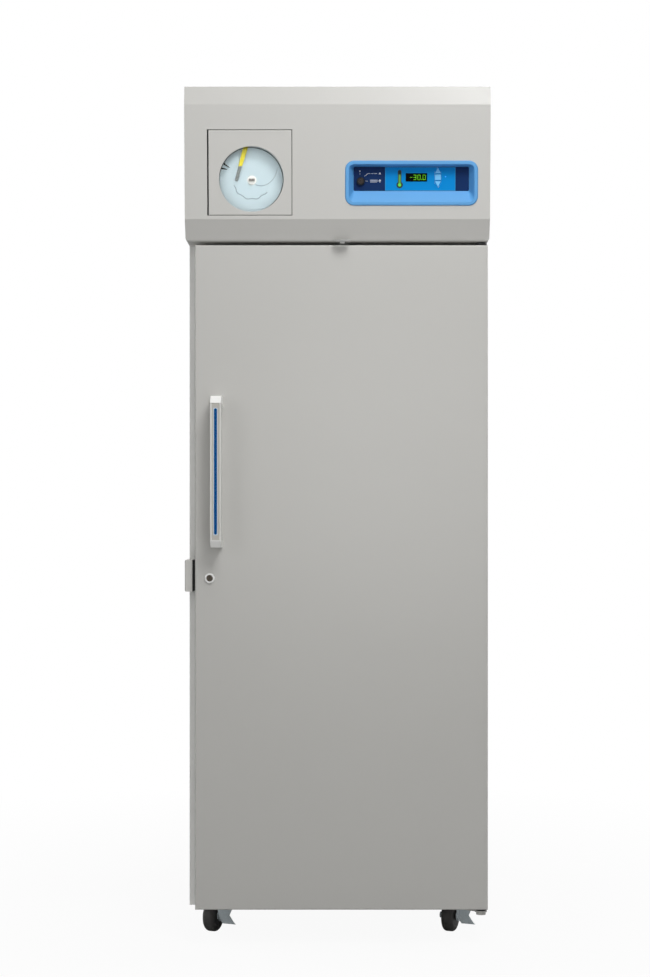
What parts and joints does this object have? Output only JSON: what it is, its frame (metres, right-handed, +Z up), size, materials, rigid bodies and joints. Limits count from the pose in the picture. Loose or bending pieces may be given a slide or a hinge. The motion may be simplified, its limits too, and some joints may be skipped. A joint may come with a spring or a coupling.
{
  "type": "plasma storage freezer",
  "caption": "Upright single-door plasma freezer with a chart recorder, a control panel, inner drawers, a top-mounted refrigeration unit and casters.",
  "frame": {"origin": "on the floor, under the middle of the whole footprint", "axes": "+Z up, -Y towards the door's front, +X to the right as seen from the front"},
  "size_m": [0.715, 0.953, 2.008],
  "materials": {
    "cabinet_paint": "satin",
    "foam": "matte",
    "white_liner": "satin",
    "dark_steel": "matte",
    "stainless": "brushed",
    "zinc": "satin",
    "chrome": "polished",
    "copper": "satin",
    "coil_fins": "satin",
    "blue_bezel": "satin",
    "panel_print": "satin",
    "key_rubber": "satin",
    "display_glass": "gloss",
    "clear_glass": "clear",
    "black_plastic": "satin",
    "gasket_grey": "matte",
    "grip_plastic": "satin",
    "inlay_blue": "gloss",
    "chart_paper": "matte",
    "pen_paint": "satin",
    "wheel_tread": "matte"
  },
  "bodies": {
    "cabinet": {"outer_shell": "cabinet_paint", "insulation_foam": "foam", "inner_liner": "white_liner", "base_frame": "cabinet_paint", "header_panel": "cabinet_paint", "machine_side_panels": "cabinet_paint", "rear_grille": "cabinet_paint", "control_bezel": "blue_bezel", "control_plate": "panel_print", "display_window": "display_glass", "key_switch_body": "black_plastic", "recorder_case": "cabinet_paint", "door_sensor": "grip_plastic", "keeper_cover": "cabinet_paint", "keeper_insert": "black_plastic", "hinge_bracket_top": "dark_steel", "hinge_bracket_bottom": "cabinet_paint", "compressor": "dark_steel", "condenser_coil": "coil_fins", "condenser_shroud": "dark_steel", "refrigerant_lines": "copper", "electrical_box": "white_liner", "evaporator_unit": "coil_fins", "drawer_slides": "stainless", "caster_plates": "zinc", "drawer_1": "stainless", "drawer_2": "stainless", "drawer_3": "stainless", "drawer_4": "stainless", "drawer_5": "stainless"},
    "door": {"door_shell": "cabinet_paint", "door_foam": "foam", "door_liner": "white_liner", "door_gasket": "gasket_grey", "handle_grip": "grip_plastic", "handle_inlay": "inlay_blue", "lock_barrel": "chrome", "hinge_bushes": "black_plastic"},
    "lock_core": {"lock_plug": "chrome"},
    "recorder_lid": {"recorder_door": "cabinet_paint", "recorder_window": "clear_glass"},
    "chart": {"chart_disc": "chart_paper", "chart_hub": "white_liner"},
    "pen": {"pen_arm": "pen_paint"},
    "switch_core": {"key_switch_plug": "chrome"},
    "button_up": {"key_up": "key_rubber"},
    "button_mode": {"key_mode": "key_rubber"},
    "button_down": {"key_down": "key_rubber"},
    "condenser_rotor": {"condenser_fan": "coil_fins"},
    "evaporator_rotor": {"evaporator_fan": "black_plastic"},
    "swivel_front_left": {"caster_fork_front_left": "zinc"},
    "roller_front_left": {"caster_wheel_front_left": "wheel_tread"},
    "swivel_front_right": {"caster_fork_front_right": "zinc"},
    "roller_front_right": {"caster_wheel_front_right": "wheel_tread"},
    "swivel_rear_left": {"caster_fork_rear_left": "zinc"},
    "roller_rear_left": {"caster_wheel_rear_left": "wheel_tread"},
    "swivel_rear_right": {"caster_fork_rear_right": "zinc"},
    "roller_rear_right": {"caster_wheel_rear_right": "wheel_tread"},
    "pedal_front_left": {"brake_lever_front_left": "zinc"},
    "pedal_front_right": {"brake_lever_front_right": "zinc"}
  },
  "joints": [
    {"name": "door_swing", "type": "hinge", "parent": "cabinet", "child": "door", "pos_m": [0.338, -0.3965, 0.8665], "axis": [0, 0, 1], "range_deg": [0, 110]},
    {"name": "lock_turn", "type": "hinge", "parent": "door", "child": "lock_core", "pos_m": [-0.299, -0.4185, 0.865], "axis": [0, 1, 0], "range_deg": [0, 90]},
    {"name": "recorder_door_swing", "type": "hinge", "parent": "cabinet", "child": "recorder_lid", "pos_m": [-0.2954, -0.44444, 1.80953], "axis": [0, 0.0645, -0.9979], "range_deg": [0, 110]},
    {"name": "chart_turn", "type": "hinge", "parent": "cabinet", "child": "chart", "pos_m": [-0.2, -0.42352, 1.79585], "axis": [0, -0.9979, -0.0645], "continuous": true},
    {"name": "pen_swing", "type": "hinge", "parent": "cabinet", "child": "pen", "pos_m": [-0.212, -0.43253, 1.87945], "axis": [0, -0.9979, -0.0645], "range_deg": [-25, 10]},
    {"name": "key_switch_turn", "type": "hinge", "parent": "cabinet", "child": "switch_core", "pos_m": [0.0544, -0.42928, 1.79198], "axis": [0, 0.9979, 0.0645], "range_deg": [0, 90]},
    {"name": "key_up_press", "type": "slide", "parent": "cabinet", "child": "button_up", "axis": [0, 0.9979, 0.0645], "range_m": [0, 0.0008], "stiffness_N_per_m": 400},
    {"name": "key_mode_press", "type": "slide", "parent": "cabinet", "child": "button_mode", "axis": [0, 0.9979, 0.0645], "range_m": [0, 0.0008], "stiffness_N_per_m": 400},
    {"name": "key_down_press", "type": "slide", "parent": "cabinet", "child": "button_down", "axis": [0, 0.9979, 0.0645], "range_m": [0, 0.0008], "stiffness_N_per_m": 400},
    {"name": "condenser_fan_spin", "type": "hinge", "parent": "cabinet", "child": "condenser_rotor", "pos_m": [-0.12, -0.0355, 1.775], "axis": [0, 1, 0], "continuous": true},
    {"name": "evaporator_fan_spin", "type": "hinge", "parent": "cabinet", "child": "evaporator_rotor", "pos_m": [0, -0.2705, 1.545], "axis": [0, 1, 0], "continuous": true},
    {"name": "swivel_front_left", "type": "hinge", "parent": "cabinet", "child": "swivel_front_left", "pos_m": [-0.2885, -0.2215, 0.098], "axis": [0, 0, 1], "continuous": true},
    {"name": "wheel_front_left", "type": "hinge", "parent": "swivel_front_left", "child": "roller_front_left", "pos_m": [-0.30184, -0.25815, 0.038], "axis": [0.9397, -0.342, 0], "continuous": true},
    {"name": "brake_front_left", "type": "hinge", "parent": "swivel_front_left", "child": "pedal_front_left", "pos_m": [-0.30184, -0.25815, 0.038], "axis": [0.9397, -0.342, 0], "range_deg": [-25, 0]},
    {"name": "swivel_front_right", "type": "hinge", "parent": "cabinet", "child": "swivel_front_right", "pos_m": [0.2885, -0.2215, 0.098], "axis": [0, 0, 1], "continuous": true},
    {"name": "wheel_front_right", "type": "hinge", "parent": "swivel_front_right", "child": "roller_front_right", "pos_m": [0.27516, -0.25815, 0.038], "axis": [0.9397, -0.342, 0], "continuous": true},
    {"name": "brake_front_right", "type": "hinge", "parent": "swivel_front_right", "child": "pedal_front_right", "pos_m": [0.27516, -0.25815, 0.038], "axis": [0.9397, -0.342, 0], "range_deg": [-25, 0]},
    {"name": "swivel_rear_left", "type": "hinge", "parent": "cabinet", "child": "swivel_rear_left", "pos_m": [-0.2885, 0.3765, 0.098], "axis": [0, 0, 1], "continuous": true},
    {"name": "wheel_rear_left", "type": "hinge", "parent": "swivel_rear_left", "child": "roller_rear_left", "pos_m": [-0.29258, 0.33771, 0.038], "axis": [0.9945, -0.1045, 0], "continuous": true},
    {"name": "swivel_rear_right", "type": "hinge", "parent": "cabinet", "child": "swivel_rear_right", "pos_m": [0.2885, 0.3765, 0.098], "axis": [0, 0, 1], "continuous": true},
    {"name": "wheel_rear_right", "type": "hinge", "parent": "swivel_rear_right", "child": "roller_rear_right", "pos_m": [0.27019, 0.34207, 0.038], "axis": [0.8829, -0.4695, 0], "continuous": true}
  ]
}
